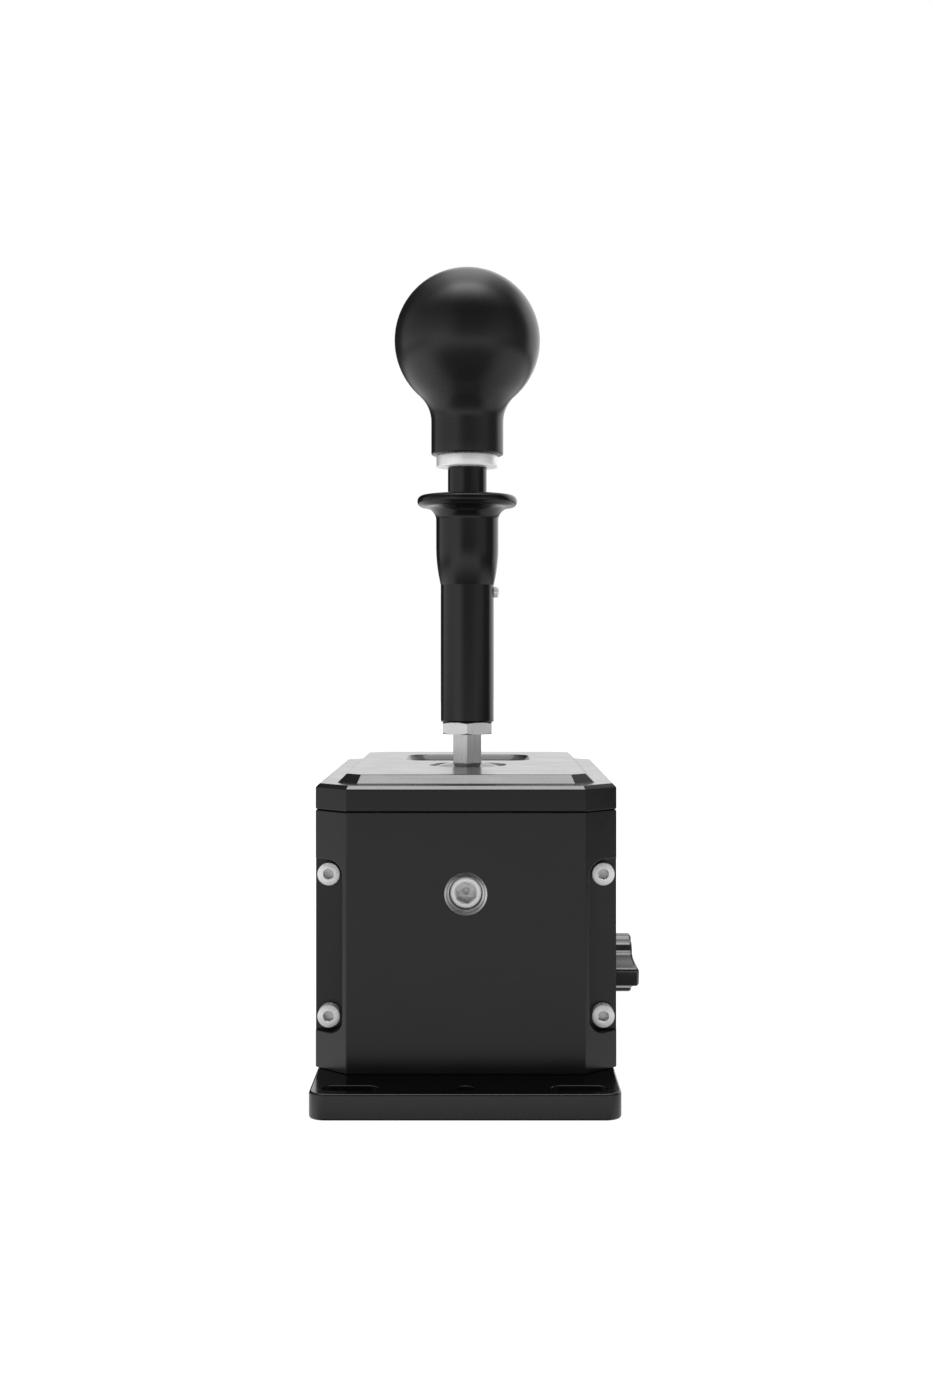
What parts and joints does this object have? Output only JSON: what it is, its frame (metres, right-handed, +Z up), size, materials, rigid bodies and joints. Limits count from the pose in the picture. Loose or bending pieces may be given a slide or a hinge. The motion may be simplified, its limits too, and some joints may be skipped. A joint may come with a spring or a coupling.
{
  "type": "sim racing gear shifter",
  "caption": "Desk or rig mounted gear shifter: box housing on a slotted base, gimballed lever with ball knob, reverse lift collar and a side mode dial.",
  "frame": {"origin": "centre of the base plate's underside", "axes": "+X to the right seen from the driver, +Y away from the driver's end, +Z up"},
  "size_m": [0.1063, 0.1884, 0.2685],
  "materials": {
    "black_anodised": "black anodised, fine brushed",
    "black_satin": "satin black coat",
    "knob_black": "soft satin black",
    "steel": "turned, satin",
    "bright_steel": "bright zinc plated",
    "dome_steel": "polished",
    "plain_aluminium": "milled",
    "spring_steel": "drawn wire",
    "brass": "turned",
    "nylon": "natural moulded",
    "dial_black": "moulded satin black",
    "board_green": "solder mask",
    "magnet": "nickel plated"
  },
  "bodies": {
    "housing": {"base_plate": "black_anodised", "front_cover": "black_anodised", "rear_cover": "black_anodised", "left_wall": "black_anodised", "right_wall": "black_anodised", "lid": "black_anodised", "front_cover_screws": "bright_steel", "rear_cover_screws": "bright_steel", "lid_screws": "bright_steel", "base_screws": "bright_steel", "pivot_ring": "bright_steel", "pivot_bearing_outers": "steel", "bearing_block": "plain_aluminium", "detent_bowl": "steel", "bowl_screws": "bright_steel", "main_board": "board_green", "board_standoffs": "brass", "board_screws": "bright_steel", "usb_socket": "bright_steel", "select_sensor_board": "board_green", "select_sensor_pillars": "nylon", "mode_switch": "dial_black", "switch_nut": "bright_steel", "centring_springs": "spring_steel"},
    "gimbal": {"gimbal_frame": "plain_aluminium", "front_pivot_bolt": "bright_steel", "rear_pivot_bolt": "bright_steel", "pivot_bearing_inners": "steel", "cross_bearing_outers": "steel", "shift_sensor_board": "board_green", "shift_sensor_pillars": "nylon", "select_magnet": "magnet"},
    "lever": {"lever_hub": "steel", "lever_rod": "steel", "cross_shaft": "steel", "cross_bearing_inners": "steel", "cross_spacers": "brass", "shift_magnet": "magnet", "plunger_tube": "steel", "dust_dome": "dome_steel", "jam_nut": "bright_steel", "upper_rod": "black_satin", "snap_ring": "spring_steel", "collar_spring": "spring_steel", "knob_ring": "bright_steel", "knob": "knob_black", "knob_insert": "brass", "detent_spring": "spring_steel"},
    "collar": {"lift_sleeve": "black_satin", "sleeve_bush": "nylon", "guide_screw": "bright_steel"},
    "plunger": {"detent_plunger": "steel"},
    "dial": {"dial_knob": "dial_black", "dial_shaft": "steel"}
  },
  "joints": [
    {"name": "select_tilt", "type": "hinge", "parent": "housing", "child": "gimbal", "pos_m": [0, -0.0142, 0.0636], "axis": [0, 1, 0], "range_deg": [-8, 8], "stiffness_Nm_per_rad": 4, "deforming": ["centring_springs"]},
    {"name": "shift_tilt", "type": "hinge", "parent": "gimbal", "child": "lever", "pos_m": [0, -0.0142, 0.0636], "axis": [1, 0, 0], "range_deg": [-8, 8]},
    {"name": "collar_lift", "type": "slide", "parent": "lever", "child": "collar", "axis": [0, 0, 1], "range_m": [0, 0.008], "stiffness_N_per_m": 350, "springref_m": -0.012, "deforming": ["collar_spring"]},
    {"name": "plunger_slide", "type": "slide", "parent": "lever", "child": "plunger", "axis": [0, 0, 1], "range_m": [0, 0.002], "stiffness_N_per_m": 2000, "springref_m": -0.004, "deforming": ["detent_spring"]},
    {"name": "dial_turn", "type": "hinge", "parent": "housing", "child": "dial", "pos_m": [0.0475, 0, 0.0301], "axis": [1, 0, 0], "range_deg": [0, 90]}
  ]
}
